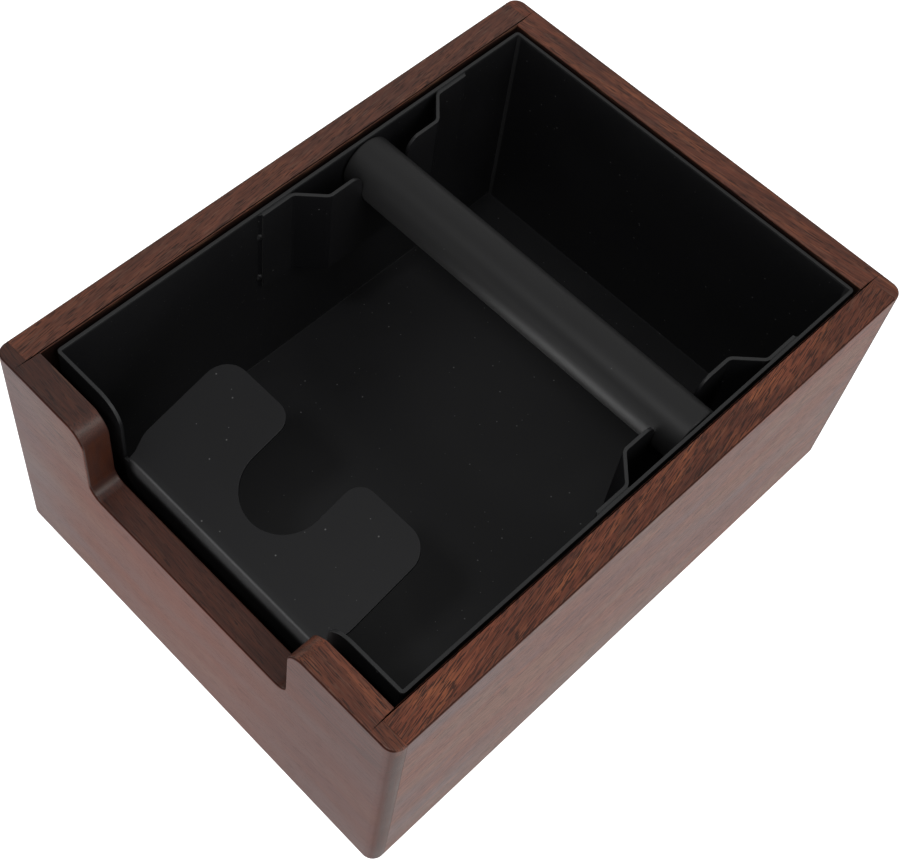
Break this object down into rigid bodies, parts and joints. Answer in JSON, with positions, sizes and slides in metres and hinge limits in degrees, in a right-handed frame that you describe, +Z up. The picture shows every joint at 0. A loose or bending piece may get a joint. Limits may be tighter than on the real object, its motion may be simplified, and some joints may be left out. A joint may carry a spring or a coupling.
{
  "type": "espresso knock box",
  "caption": "Notched wooden box with a black sheet-metal liner that lifts out, a padded knock bar across it and a folded forked rest for a portafilter.",
  "frame": {"origin": "middle of the footprint, at the height of the surface that the rubber feet stand on", "axes": "+Z is up, -Y is the notched front where the portafilter's handle comes out, and +X is to the right of someone facing that front"},
  "size_m": [0.177, 0.235, 0.102],
  "materials": {
    "stained_wood": "dark reddish-brown stain under satin lacquer",
    "base_panel": "stained plywood, matt",
    "foot_rubber": "matt black moulded rubber",
    "plated_steel": "zinc-plated, satin",
    "powder_coat": "fine black powder coat, satin",
    "bar_rubber": "smooth black rubber, satin"
  },
  "bodies": {
    "case": {"front_board": "stained_wood", "back_board": "stained_wood", "left_board": "stained_wood", "right_board": "stained_wood", "base_board": "base_panel", "foot_front_left": "foot_rubber", "foot_front_right": "foot_rubber", "foot_back_left": "foot_rubber", "foot_back_right": "foot_rubber", "foot_screw_front_left": "plated_steel", "foot_screw_front_right": "plated_steel", "foot_screw_back_left": "plated_steel", "foot_screw_back_right": "plated_steel"},
    "liner": {"liner_pan": "powder_coat", "left_bar_bracket": "powder_coat", "right_bar_bracket": "powder_coat"},
    "knock_bar": {"bar_sleeve": "bar_rubber", "bar_core": "plated_steel"}
  },
  "joints": [
    {"name": "liner_lift", "type": "slide", "parent": "case", "child": "liner", "axis": [0, 0, 1], "range_m": [0, 0.12]},
    {"name": "bar_lift", "type": "slide", "parent": "liner", "child": "knock_bar", "axis": [0, 0, 1], "range_m": [0, 0.035]}
  ]
}
